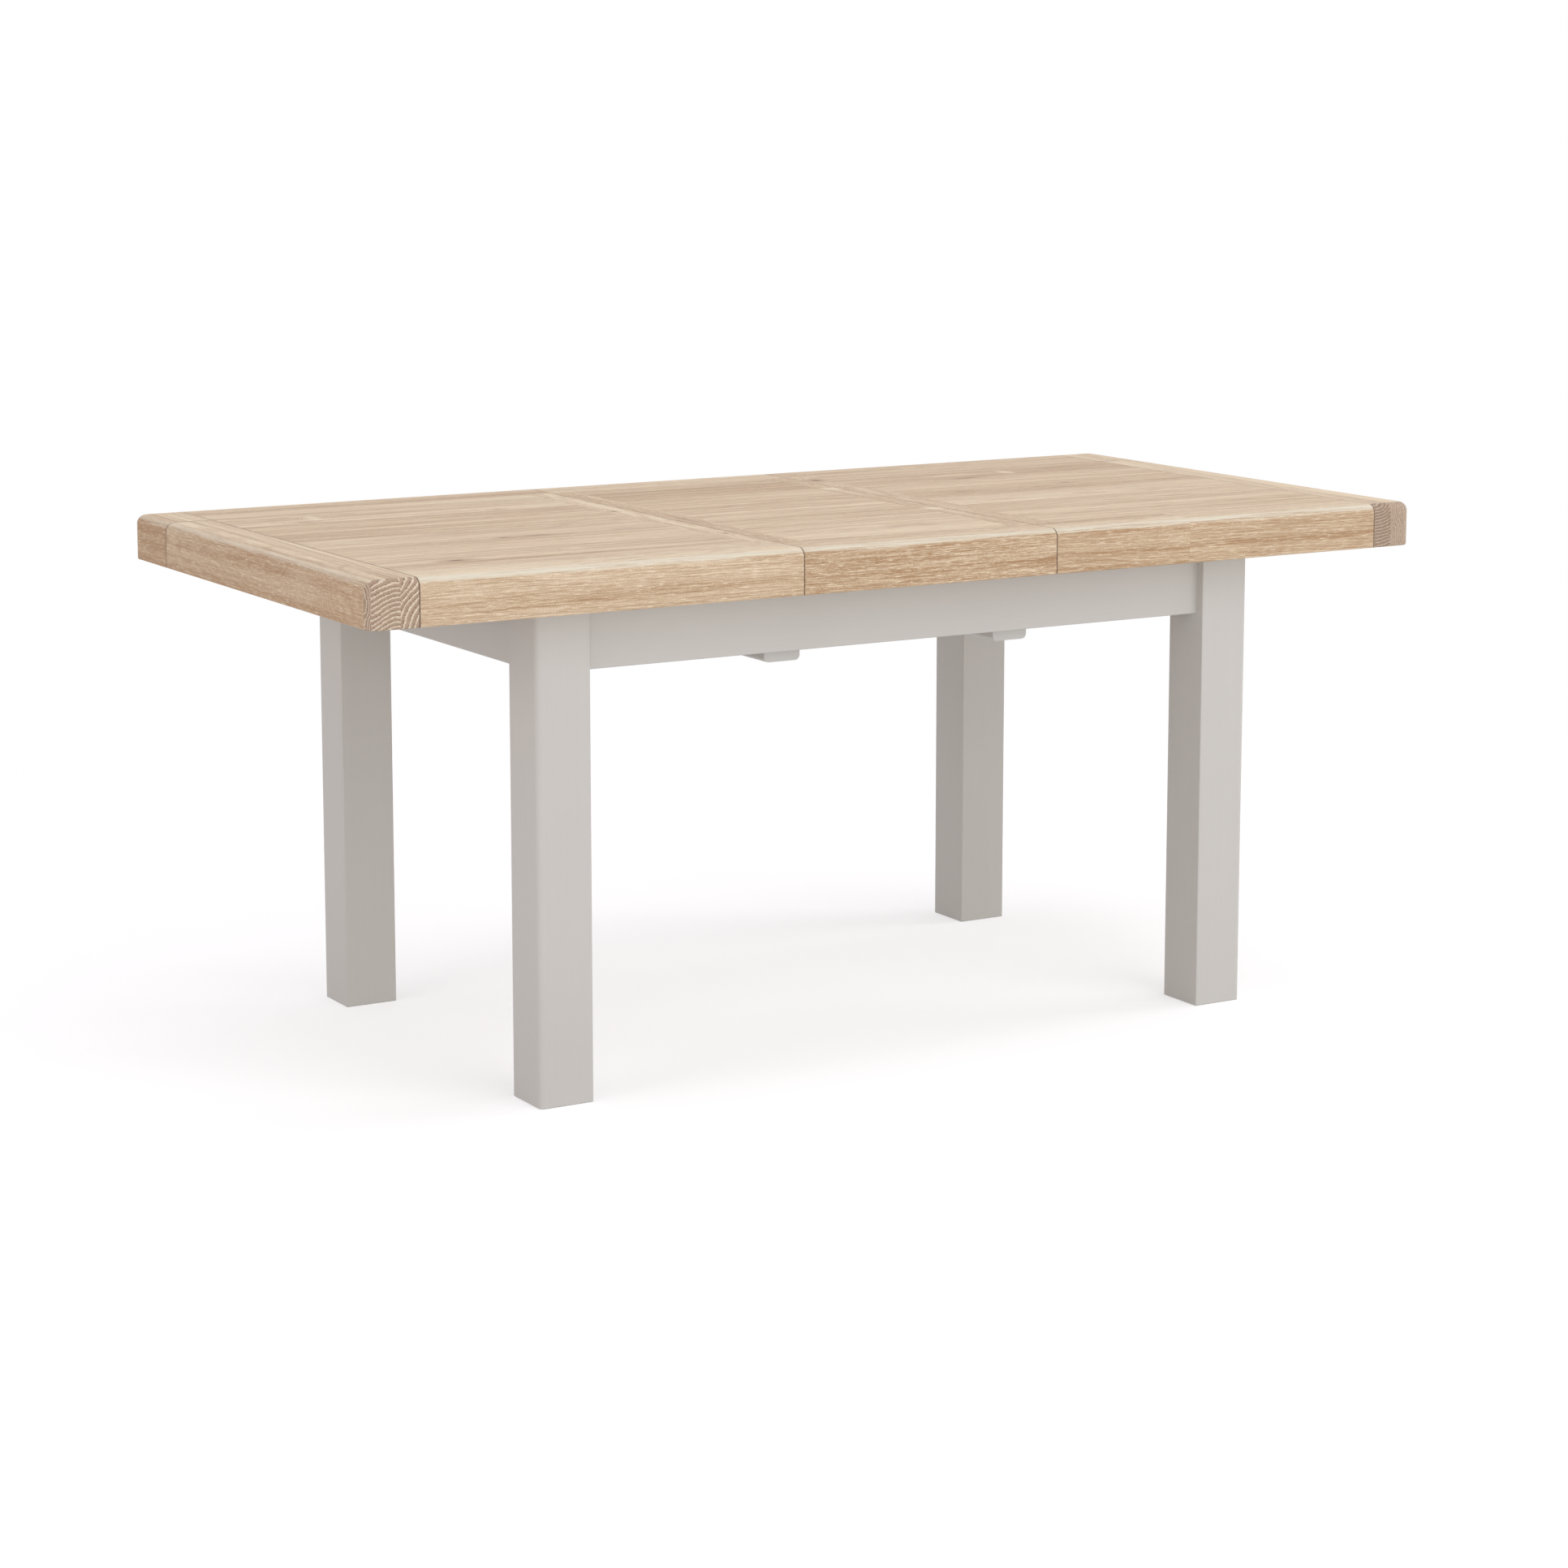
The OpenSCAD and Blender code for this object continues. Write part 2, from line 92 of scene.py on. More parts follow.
# Layers of noise in the oak, coarse to fine: scale along the grain, scale across it, detail and roughness.
WANDER = (1.6, 5.0, 2.0, 0.5)
WAVES = (10.0, 30.0, 3.0, 0.6)
CLOUD = (0.9, 14.0, 2.0, 0.6)
STREAK = (1.1, 62.0, 5.0, 0.66)
THREAD = (7.0, 260.0, 3.0, 0.6)
FIBRE = (10.0, 620.0, 3.0, 0.65)
FLECK = (60.0, 800.0, 1.0, 0.5)
GRIT = (420.0, 1000.0, 1.0, 0.5)
CELLS = (1.0, 420.0, 2.0, 0.6)
SPECKS = (1.0, 1100.0, 1.0, 0.5)

# Every stave has a number, which moves its noise by up to STAVE_SHIFT. Past a butt joint it is BUTT_STEP higher.
STAVE_SHIFT = 9.0
BUTT_STEP = 7.0

# Growth rings, where a piece has no piths of its own, and how far all rings bend: with the noise, along the board
# and round a knot.
RING_WIDTH = 5.0 * MM
PITH_BELOW_TOP = 0.10
PITH_SPACING = 0.11
PITH_STRAY = 0.14
RING_WANDER = 0.060
RING_WAVES = 0.008
RING_TAPER = 0.012
RING_ROUND_KNOT = 0.020
RING_ROUND_KNOT_FALL = -0.25

# Each part of a knot: where it starts and where it is full, in half widths of the knot, its share of what the
# knot's row asks for, and the most of its colour that shows. The last three are how ragged noise makes a knot.
KNOT_CORE = (1.2, 0.3)
KNOT_CORE_MOST = 0.85
KNOT_HALO = (3.6, 0.6)
KNOT_HALO_SHARE = 0.60
KNOT_HALO_MOST = 0.60
KNOT_LIME = (2.1, 0.4)
KNOT_LIME_SHARE = 0.8
KNOT_LIME_MOST = 0.75
KNOT_WAVES = 2.0
KNOT_THREAD = 2.6
KNOT_FIBRE = 2.2

# The tone runs from 0, OAK_DEEP, to 1, OAK_PALE. These are the shares that make it up. A pair is the share on
# smooth wood, and how much more of it there is on the roughest.
TONE_MIDDLE = 0.40
TONE_STAVE = 0.32
TONE_CLOUD = 0.45
TONE_RINGS = 0.10
TONE_STREAK = (2.42, -1.80)
TONE_THREAD = (0.60, -0.36)
TONE_FIBRE = (0.0, 1.85)
TONE_FLECK = (0.0, 0.70)
TONE_GRIT = (0.0, 1.00)

# Faces that look up, by the height of their normal, and the top's long edges, by the distance from its middle.
# Painted light makes the edge pieces paler on top; the last number is the share of it for those edges alone.
TOP_FACES = (0.80, 0.97)
LIT_LONG_EDGES = (0.375, 0.430)
LIT_EDGE_SHARE = 0.6

# Lines along the grain: how far they wander, how much of their half width is full, and how clouds break them up.
LINE_WANDER = 6.0 * MM
LINE_CORE = 0.3
LINE_BREAKS = 3.0
LINE_WHOLE = 0.8

# The bands along the faces of the edge pieces. The pale one lies PALE_BAND_ABOVE millimetres above the dark one.
DARK_BAND_HALF = 6 * MM
PALE_BAND_HALF = 13 * MM
PALE_BAND_ABOVE = 15
PALE_BAND_TONE = 0.10

# Marks along the grain: where they start and where they are full on their layer, and how much colour they take.
LATE_WOOD = (0.55, 0.95)
LATE_WOOD_GAPS = (-0.12, 0.10)
LATE_WOOD_AMOUNT = 0.30
PORE_LINES = (-0.08, -0.22)
PORE_LINES_AMOUNT = 0.60
LIMED_FLECKS = (0.08, 0.22)
LIMED_FLECKS_AMOUNT = 0.70

# The painted highlight along the rounded upper edges, by the height of the normal, and how the grain breaks it
# up.
HIGHLIGHT_FROM_SIDE = (0.30, 0.74)
HIGHLIGHT_FROM_TOP = (0.998, 0.92)
HIGHLIGHT_EDGE_THREAD = 0.4
HIGHLIGHT_EDGE_FIBRE = 0.9
HIGHLIGHT_THREAD = 1.4
HIGHLIGHT_FIBRE = 1.2
HIGHLIGHT_WHOLE = 0.85

# End grain. Each ring runs from 0 to 1, with a limed row of open pores and dark dots beside it.
END_FACES = (0.05, 0.18)
RING_RAGGED = 0.5
LIMED_ROW = ((0.00, 0.09), (0.42, 0.33))
LIMED_GAPS = (-0.14, 0.00)
DOTTED_ROW = ((0.33, 0.42), (0.74, 0.60))
DOTTED_GAPS = (-0.04, 0.10)
DOTTED_AMOUNT = 0.85
END_MOTTLE = (-0.15, 0.20)
END_MOTTLE_DARK = 0.78

# Joints: the long glue joint that runs through every piece of the top, the butt joints in the right edge pieces,
# the strip along the cleats' outer corners, and the painted shade in the grooves and gaps where two pieces meet
# along the table, drawn as a dark line on all faces but the ones that look along it. The long glue joint's dark
# line is painted shade in its groove as well.
LONG_SEAM = 0.302
SEAM_CORE = 0.4 * MM
SEAM_BREAKS = 2.0
BUTT_JOINT = 0.462
CLEAT_STRIP = 5.4 * MM
JOINT_LINE = (1.3 * MM, 0.5 * MM)
JOINT_INSET = 0.4 * MM
JOINT_AMOUNT = 0.85
CROSSING_FACES = (0.92, 0.75)

# The oak's relief, roughness and shine.
OAK_RELIEF = 0.25 * MM
OAK_RELIEF_STRENGTH = 0.5
OAK_RELIEF_STREAK = 0.5
OAK_ROUGHNESS = 0.50
OAK_ROUGHNESS_STREAK = 0.3
OAK_SPECULAR = 0.22

# The paint: the scales of its brush strokes, patches and peel, and what they do to shade, relief and roughness.
BRUSH_ALONG = 6.0
BRUSH_ACROSS = 420.0
PATCH_SCALE = 5.0
PEEL_SCALE = 420.0
SHADE_REST = 0.96
SHADE_STROKES = 0.03
SHADE_PATCHES = 0.05
SHADES = (0.96, 1.04)
SHADE_DARKEST = 0.93
PAINT_RELIEF = 0.12 * MM
PAINT_RELIEF_STRENGTH = 0.35
PAINT_RELIEF_STROKES = 0.7
PAINT_RELIEF_PEEL = 0.3
PAINT_ROUGHNESS = 0.40
PAINT_ROUGHNESS_PATCHES = 0.10
PAINT_SPECULAR = 0.4

# The beech: the scales of its grain and its rays, how far the next seed's noise lies, where the pale streaks and
# the rays start and are full, and its relief, roughness and shine.
BEECH_GRAIN = (3.0, 70.0, 70.0)
BEECH_RAYS = (150.0, 1300.0, 1300.0)
BEECH_SHIFT = 0.37
BEECH_STREAKS = (0.30, 0.70)
BEECH_RAY_MARKS = (0.60, 0.70)
BEECH_RAYS_AMOUNT = 0.35
BEECH_RELIEF = 0.2 * MM
BEECH_RELIEF_STRENGTH = 0.4
BEECH_ROUGHNESS = 0.62
BEECH_SPECULAR = 0.3

# The zinc: what its bloom does to shade, relief and roughness, and the thread of the leg bolts, whose roots get
# painted shade.
BLOOM_SCALE = 700.0
BLOOM_DARKEST = 0.75
BLOOM_RELIEF = 0.05 * MM
BLOOM_RELIEF_STRENGTH = 0.3
BLOOM_ROUGHNESS = 0.25
ZINC_ROUGHNESS = 0.22
BOLT_PITCH = 1.25 * MM
BOLT_RELIEF = 0.5 * MM
BOLT_ROOT_SHADE = 0.45
BOLT_ROUGHNESS = 0.42
BOLT_ROUGHNESS_CREST = -0.12

# The heads of the screws that hold the unpainted pieces. The profile is in shares of radius and height, and the
# recess's outline is a quarter of the way round.
HEAD_RADIUS = 4.0 * MM
HEAD_HEIGHT = 2.2 * MM
HEAD_PROFILE = ((1.0, -0.1), (1.0, 0.35), (0.95, 0.62), (0.83, 0.84), (0.66, 0.96), (0.58, 1.0))
HEAD_POINTS = 24
HEAD_SHARP = math.radians(40)
HEAD_TURN = 2.4
RECESS_REACH = 2.0 * MM
RECESS_QUARTER = (0.965, 1.0, 0.52, 0.37, 0.52, 1.0)
RECESS_TAPER = 0.6
RECESS_FLOOR = 0.35

# Where the screws sit: along a batten, in from the side of a runner or locator, either way from the middle of a
# corner block, and in from the end of a slide stop.
BATTEN_SCREWS = (-0.21, -0.07, 0.07, 0.21)
SIDE_SCREW = 15 * MM
BLOCK_SCREW = 62 * MM
STOP_SCREW = 10 * MM
DOWN = (0, 0, -1)

# The floor fades to plain white between two distances from the table's middle.
FLOOR_REACH = 14.0
FLOOR_FADE = (1.6, 3.2)

# Lamps: name, place, what it aims at, width and height, power and tint.
LAMPS = (
    ("overhead", (0.0, 0.2, 3.4), (0, 0, 0.7), (3.2, 2.0), 14.0, WHITE),
    ("key", (0.8, -3.4, 3.8), (0, 0, 0.6), (3.0, 2.0), 25.0, WHITE),
    ("front_low", (0.4, -8.0, 1.0), (0, 0, 0.4), (6.0, 2.0), 67.0, WHITE),
    ("front_high", (0.4, -8.0, 4.2), (0, 0, 0.4), (6.0, 2.0), 39.0, WHITE),
    ("front_left", (-4.5, -7.0, 1.8), (0, 0, 0.4), (2.0, 1.6), 21.0, WHITE),
    ("front_right", (4.5, -7.0, 1.8), (0, 0, 0.4), (2.0, 1.6), 29.0, WHITE),
    ("left", (-4.2, -0.8, 1.6), (0, 0, 0.5), (2.0, 2.0), 23.0, (1.0, 0.921, 0.943)),
    ("right", (5.0, -1.0, 2.5), (0, 0, 0.5), (2.0, 2.0), 44.0, WHITE),
)


def darker(colour, share):
    return tuple(share * part for part in colour)


def share_of(pair, rough):
    """The share that one layer has in the tone of wood this rough."""
    smooth, more = pair
    return smooth + more * rough


class Graph:
    """Short names for building the nodes of one material."""

    def __init__(self, name):
        self.material = bpy.data.materials.new(name)
        self.material.use_nodes = True
        self.tree = self.material.node_tree
        self.tree.nodes.clear()
        self.shader = self.tree.nodes.new("ShaderNodeBsdfPrincipled")
        self.surface = self.tree.nodes.new("ShaderNodeOutputMaterial")
        self.tree.links.new(self.shader.outputs["BSDF"], self.surface.inputs["Surface"])
        coordinates = self.tree.nodes.new("ShaderNodeTexCoord")
        self.here = coordinates.outputs["Object"]
        self.facing = coordinates.outputs["Normal"]

    def put(self, socket, value):
        """Links a socket, or sets a number, vector or colour."""
        if isinstance(value, bpy.types.NodeSocket):
            self.tree.links.new(value, socket)
        elif isinstance(value, tuple) and len(value) == 3 and len(socket.default_value) == 4:
            socket.default_value = (*value, 1.0)
        else:
            socket.default_value = value

    def math(self, operation, a, b=0.0, c=0.0, clamp=False):
        node = self.tree.nodes.new("ShaderNodeMath")
        node.operation = operation
        node.use_clamp = clamp
        for socket, value in zip(node.inputs, (a, b, c)):
            self.put(socket, value)
        return node.outputs[0]

    def add(self, a, b):
        return self.math("ADD", a, b)

    def less(self, a, b):
        return self.math("SUBTRACT", a, b)

    def times(self, a, b):
        return self.math("MULTIPLY", a, b)

    def over(self, a, b):
        return self.math("DIVIDE", a, b)

    def scaled(self, value, share, rest, clamp=False):
        """rest, with a share of value on top of it."""
        return self.math("MULTIPLY_ADD", value, share, rest, clamp)

    def size(self, value):
        """The value without its sign."""
        return self.math("ABSOLUTE", value)

    def distance(self, a, b):
        """How far (a, b) is from the origin."""
        return self.math("SQRT", self.add(self.times(a, a), self.times(b, b)))

    def past(self, value, edge):
        """1 above the edge and 0 below it."""
        return self.math("GREATER_THAN", value, edge)

    def separate(self, vector):
        node = self.tree.nodes.new("ShaderNodeSeparateXYZ")
        self.put(node.inputs[0], vector)
        return tuple(node.outputs)

    def stretched(self, parts, scales):
        """The place with each part scaled, for noise that runs along the grain."""
        node = self.tree.nodes.new("ShaderNodeCombineXYZ")
        for socket, part, scale in zip(node.inputs, parts, scales):
            self.put(socket, self.times(part, scale))
        return node.outputs[0]

    def noise(self, vector, scale=1.0, detail=2.0, roughness=0.5):
        node = self.tree.nodes.new("ShaderNodeTexNoise")
        self.put(node.inputs["Vector"], vector)
        self.put(node.inputs["Scale"], scale)
        self.put(node.inputs["Detail"], detail)
        self.put(node.inputs["Roughness"], roughness)
        return node.outputs["Fac"]

    def chance(self, number):
        """Three random numbers from 0 to 1 for each whole number."""
        node = self.tree.nodes.new("ShaderNodeTexWhiteNoise")
        node.noise_dimensions = "1D"
        self.put(node.inputs["W"], number)
        return self.separate(node.outputs["Color"])

    def rise(self, value, start, full):
        """0 at start, 1 at full and a smooth step between them."""
        node = self.tree.nodes.new("ShaderNodeMapRange")
        node.interpolation_type = "SMOOTHSTEP"
        self.put(node.inputs["Value"], value)
        self.put(node.inputs["From Min"], start)
        self.put(node.inputs["From Max"], full)
        return node.outputs["Result"]

    def mix(self, factor, a, b):
        node = self.tree.nodes.new("ShaderNodeMix")
        node.data_type = "RGBA"
        self.put(node.inputs["Factor"], factor)
        colours = [socket for socket in node.inputs if socket.type == "RGBA"]
        self.put(colours[0], a)
        self.put(colours[1], b)
        return next(socket for socket in node.outputs if socket.type == "RGBA")

    def bump(self, height, distance, strength=1.0):
        node = self.tree.nodes.new("ShaderNodeBump")
        self.put(node.inputs["Height"], height)
        self.put(node.inputs["Distance"], distance)
        self.put(node.inputs["Strength"], strength)
        self.put(self.shader.inputs["Normal"], node.outputs["Normal"])

    def set(self, **values):
        """Sets the shader's sockets by name, a space as an underscore."""
        for name, value in values.items():
            self.put(self.shader.inputs[name.replace("_", " ")], value)


class Oak(Graph):
    """Limed oak in staves that lie side by side along the grain."""

    def __init__(self, name, grain, seed, edges, splits, upright):
        super().__init__(name)
        self.x, self.y, self.z = self.separate(self.here)
        self.normal = self.separate(self.facing)
        self.along, self.across = (self.x, self.y) if grain == "X" else (self.y, self.x)
        self.end_normal = self.normal[0] if grain == "X" else self.normal[1]
        self.face = self.z if upright else self.across
        self.edges = edges
        self.splits = splits
        number = float(seed)
        for edge in edges:
            number = self.add(self.past(self.across, edge), number)
        for split in splits:
            number = self.scaled(self.past(self.along, split), BUTT_STEP, number)
        self.random = self.chance(number)
        places = (self.along, self.across, self.z)
        self.shifted = [self.scaled(chance, STAVE_SHIFT, part) for chance, part in zip(self.random, places)]
        self.wander = self.grained(WANDER)
        self.waves = self.grained(WAVES)
        self.cloud = self.grained(CLOUD)
        self.streak = self.grained(STREAK)
        self.thread = self.grained(THREAD)
        self.fibre = self.grained(FIBRE)
        self.fleck = self.grained(FLECK)

    def grained(self, layer):
        """Noise about 0, stretched along the grain."""
        scale_along, scale_across, detail, roughness = layer
        place = self.stretched(self.shifted, (scale_along, scale_across, scale_across))
        return self.less(self.noise(place, detail=detail, roughness=roughness), 0.5)

    def staved(self, values):
        """A number that is values[i] between edges[i - 1] and edges[i]."""
        total = values[0]
        for edge, before, beyond in zip(self.edges, values, values[1:]):
            total = self.scaled(self.past(self.across, edge), beyond - before, total)
        return total

    def grow(self, piths, knots):
        """Counts the growth rings out from the pith, which wanders along the board, and grows the knots."""
        if piths:
            places, heights, widths, _ = zip(*piths)
            side = self.less(self.across, self.staved(places))
            height = self.staved(heights)
            width = self.staved(widths)
        else:
            stray = self.scaled(self.random[1], PITH_STRAY, -PITH_STRAY / 2)
            side = self.add(self.math("PINGPONG", self.across, PITH_SPACING), stray)
            height = cad_high.z - PITH_BELOW_TOP
            width = RING_WIDTH
        bend = self.scaled(self.wander, RING_WANDER, self.times(self.waves, RING_WAVES))
        bend = self.scaled(self.along, RING_TAPER, bend)
        self.knot_core = 0.0
        self.knot_halo = 0.0
        self.knot_lime = 0.0
        for along, across, length, breadth, dark, lime in knots:
            far = self.over(self.less(self.along, along), length)
            off = self.over(self.less(self.face, across), breadth)
            away = self.scaled(self.waves, KNOT_WAVES, self.distance(far, off))
            ragged = self.scaled(self.thread, KNOT_THREAD, self.scaled(self.fibre, KNOT_FIBRE, away))
            near = self.math("EXPONENT", self.times(self.times(away, away), RING_ROUND_KNOT_FALL))
            bend = self.scaled(near, RING_ROUND_KNOT, bend)
            self.knot_core = self.scaled(self.rise(away, *KNOT_CORE), dark, self.knot_core)
            self.knot_halo = self.scaled(self.rise(ragged, *KNOT_HALO), KNOT_HALO_SHARE * dark, self.knot_halo)
            self.knot_lime = self.scaled(self.rise(ragged, *KNOT_LIME), KNOT_LIME_SHARE * lime, self.knot_lime)
        radius = self.distance(side, self.less(self.z, height))
        self.count = self.over(self.add(radius, bend), width)
        self.band = self.size(self.less(self.times(self.math("FRACT", self.count), 2.0), 1.0))

    def tone(self, pale, after, lines, rough, painted_top_light, vivid):
        """How pale the wood is along the grain: the stave's own tone, painted light on the faces that look up,
        its figure, the rings and the pores.
        """
        tone = self.scaled(self.staved(pale), TONE_STAVE, TONE_MIDDLE)
        for split in self.splits:
            tone = self.scaled(self.past(self.along, split), after, tone)
        top = self.rise(self.normal[2], *TOP_FACES)
        edge_light = self.scaled(self.rise(self.size(self.y), *LIT_LONG_EDGES), LIT_EDGE_SHARE, 1.0 - LIT_EDGE_SHARE)
        # Painted light: faces that look up are made paler, more so near the top's long edges.
        tone = self.scaled(self.times(top, edge_light), painted_top_light, tone)
        figure = self.scaled(self.streak, share_of(TONE_STREAK, rough), self.times(self.cloud, TONE_CLOUD))
        tone = self.scaled(figure, self.scaled(top, vivid, 1.0), tone)
        tone = self.scaled(self.thread, share_of(TONE_THREAD, rough), tone)
        tone = self.scaled(self.fibre, share_of(TONE_FIBRE, rough), tone)
        tone = self.scaled(self.fleck, share_of(TONE_FLECK, rough), tone)
        tone = self.scaled(self.grained(GRIT), share_of(TONE_GRIT, rough), tone)
        tone = self.scaled(self.less(0.5, self.band), TONE_RINGS, tone)
        for across, half, amount in lines:
            off = self.size(self.scaled(self.wander, LINE_WANDER, self.less(self.face, across)))
            broken = self.scaled(self.cloud, LINE_BREAKS, LINE_WHOLE, clamp=True)
            tone = self.scaled(self.times(self.rise(off, half, LINE_CORE * half), broken), amount, tone)
        return tone

    def long_grain(self, tone, rough):
        """The colour along the grain, with late wood, pores and knots."""
        late = self.times(self.rise(self.band, *LATE_WOOD), self.rise(self.thread, *LATE_WOOD_GAPS))
        pores = self.rise(self.fibre, *PORE_LINES)
        flecks = self.rise(self.fleck, *LIMED_FLECKS)
        colour = self.mix(tone, OAK_DEEP, OAK_PALE)
        colour = self.mix(self.times(late, LATE_WOOD_AMOUNT), colour, OAK_LINE)
        colour = self.mix(self.times(pores, PORE_LINES_AMOUNT * rough), colour, OAK_LINE)
        colour = self.mix(self.times(flecks, LIMED_FLECKS_AMOUNT * rough), colour, OAK_LIME)
        colour = self.mix(self.math("MINIMUM", self.knot_lime, KNOT_LIME_MOST), colour, OAK_LIME)
        colour = self.mix(self.math("MINIMUM", self.knot_halo, KNOT_HALO_MOST), colour, OAK_LINE)
        return self.mix(self.math("MINIMUM", self.knot_core, KNOT_CORE_MOST), colour, OAK_KNOT)

    def painted_edge_highlight(self, colour, amount):
        """Paints a pale highlight along the rounded upper edges."""
        slope = self.scaled(self.thread, HIGHLIGHT_EDGE_THREAD, self.normal[2])
        slope = self.scaled(self.fibre, HIGHLIGHT_EDGE_FIBRE, slope)
        highlight = self.times(self.rise(slope, *HIGHLIGHT_FROM_SIDE), self.rise(self.normal[2], *HIGHLIGHT_FROM_TOP))
        uneven = self.scaled(self.fibre, HIGHLIGHT_FIBRE, HIGHLIGHT_WHOLE)
        uneven = self.scaled(self.thread, HIGHLIGHT_THREAD, uneven, clamp=True)
        return self.mix(self.times(self.times(highlight, uneven), amount), colour, OAK_EDGE_HIGHLIGHT)

    def end_grain(self, piths):
        """The colour and the relief where the fibres are cut across."""
        cells = self.grained(CELLS)
        specks = self.grained(SPECKS)
        turn = self.math("FRACT", self.scaled(cells, RING_RAGGED, self.count))
        limed = self.times(*(self.rise(turn, *side) for side in LIMED_ROW))
        limed = self.times(limed, self.rise(specks, *LIMED_GAPS))
        dotted = self.times(*(self.rise(turn, *side) for side in DOTTED_ROW))
        dotted = self.times(dotted, self.rise(self.add(specks, cells), *DOTTED_GAPS))
        cut = self.mix(self.rise(specks, *END_MOTTLE), END_WOOD, darker(END_WOOD, END_MOTTLE_DARK))
        cut = self.mix(self.times(dotted, DOTTED_AMOUNT), cut, END_PORE)
        cut = self.mix(limed, cut, END_LIME)
        if piths:
            cut = self.mix(self.staved([pith[3] for pith in piths]), cut, END_PORE)
        return cut, self.less(self.add(limed, specks), dotted)

    def shade_joints(self, colour, joints, seam, seam_reach):
        """Paints the shade in the joints' grooves and gaps as dark lines."""
        crossing = self.times(self.rise(self.size(self.normal[0]), *CROSSING_FACES), JOINT_AMOUNT)
        for place in joints:
            line = self.rise(self.size(self.less(self.x, place)), *JOINT_LINE)
            colour = self.mix(self.times(line, crossing), colour, JOINT_SHADE)
        line = self.rise(self.size(self.less(self.y, LONG_SEAM)), seam_reach, SEAM_CORE)
        shown = self.scaled(self.cloud, SEAM_BREAKS, seam, clamp=True)
        return self.mix(self.times(line, shown), colour, JOINT_SHADE)


def dress(node, material):
    """Gives a CAD node its material."""
    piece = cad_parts[node]
    piece.data.materials.clear()
    piece.data.materials.append(material)


def dress_oak(
    node, grain, seed, edges=(), pale=(0.5,), splits=(), after=0.0, knots=(), lines=(), piths=(), joints=(),
    seam=0.5, seam_reach=1.3 * MM, rough=1.0, edge_highlight=0.0, painted_top_light=0.0, vivid=0.0, upright=False,
):
    """Gives a CAD node limed oak of its own. grain is the axis of the fibres.

    edges are the glue joints between staves, across the grain, and pale is how pale each stave is. splits are the
    butt joints along the grain, and after is how much paler the wood is past them. A knot is (along, across,
    length, width, dark, lime) and a line along the grain is (across, half width, how pale). piths are the middles
    of each stave's tree: across, up, the width of its rings and how dark its end grain is. joints are the places
    on X where two pieces meet, with painted shade there as a dark line for their grooves and gaps, seam is how
    dark the painted shade in the long seam's groove is and seam_reach how far it spreads. rough is how much the
    pores show, edge_highlight how pale the painted highlight on the rounded upper edges is, painted_top_light how
    much paler painted light makes the top, more so towards the long edges, and vivid how much stronger its figure
    is than that of the sides. upright measures knots and lines up the piece's side instead of across it.
    """
    wood = Oak("oak_" + node, grain, seed, edges, splits, upright)
    wood.grow(piths, knots)
    colour = wood.long_grain(wood.tone(pale, after, lines, rough, painted_top_light, vivid), rough)
    # A painted highlight pales the rounded upper edges.
    colour = wood.painted_edge_highlight(colour, edge_highlight)
    cut, cut_relief = wood.end_grain(piths)
    end = wood.rise(wood.size(wood.end_normal), *END_FACES)
    # Painted shade darkens the grooves and gaps at the joints.
    colour = wood.shade_joints(wood.mix(end, colour, cut), joints, seam, seam_reach)
    relief = wood.add(wood.fibre, wood.add(wood.fleck, wood.times(wood.streak, OAK_RELIEF_STREAK)))
    wood.bump(wood.mix(end, relief, cut_relief), OAK_RELIEF * rough, OAK_RELIEF_STRENGTH)
    roughness = wood.scaled(wood.streak, OAK_ROUGHNESS_STREAK, OAK_ROUGHNESS)
    wood.set(Base_Color=colour, Roughness=roughness, Specular_IOR_Level=OAK_SPECULAR)
    dress(node, wood.material)


def paint(name, grain):
    """Satin stone grey paint, laid off with a brush along each piece."""
    graph = Graph(name)
    scales = [BRUSH_ALONG if axis == grain else BRUSH_ACROSS for axis in "XYZ"]
    brushed = graph.stretched(graph.separate(graph.here), scales)
    strokes = graph.noise(brushed, detail=3.0, roughness=0.6)
    patches = graph.noise(graph.here, scale=PATCH_SCALE, detail=3.0)
    peel = graph.noise(graph.here, scale=PEEL_SCALE)
    shade = graph.scaled(patches, SHADE_PATCHES, graph.scaled(strokes, SHADE_STROKES, SHADE_REST))
    colour = graph.mix(graph.rise(shade, *SHADES), darker(PAINT, SHADE_DARKEST), PAINT)
    relief = graph.scaled(strokes, PAINT_RELIEF_STROKES, graph.times(peel, PAINT_RELIEF_PEEL))
    roughness = graph.scaled(patches, PAINT_ROUGHNESS_PATCHES, PAINT_ROUGHNESS)
    graph.bump(relief, PAINT_RELIEF, PAINT_RELIEF_STRENGTH)
    graph.set(Base_Color=colour, Roughness=roughness, Specular_IOR_Level=PAINT_SPECULAR)
    return graph.material


def beech(name, grain, seed):
    """Planed beech, unpainted, with the short brown rays of that wood."""
    graph = Graph(name)
    x, y, z = graph.separate(graph.here)
    places = (x, y, z) if grain == "X" else (y, x, z)
    shifted = [graph.add(part, BEECH_SHIFT * seed) for part in places]
    streak = graph.noise(graph.stretched(shifted, BEECH_GRAIN), detail=4.0, roughness=0.6)
    rays = graph.noise(graph.stretched(shifted, BEECH_RAYS), detail=1.0)
    colour = graph.mix(graph.rise(streak, *BEECH_STREAKS), BEECH_DARK, BEECH_LIGHT)
    marks = graph.times(graph.rise(rays, *BEECH_RAY_MARKS), BEECH_RAYS_AMOUNT)
    colour = graph.mix(marks, colour, BEECH_DARK)
    graph.bump(streak, BEECH_RELIEF, BEECH_RELIEF_STRENGTH)
    graph.set(Base_Color=colour, Roughness=BEECH_ROUGHNESS, Specular_IOR_Level=BEECH_SPECULAR)
    return graph.material


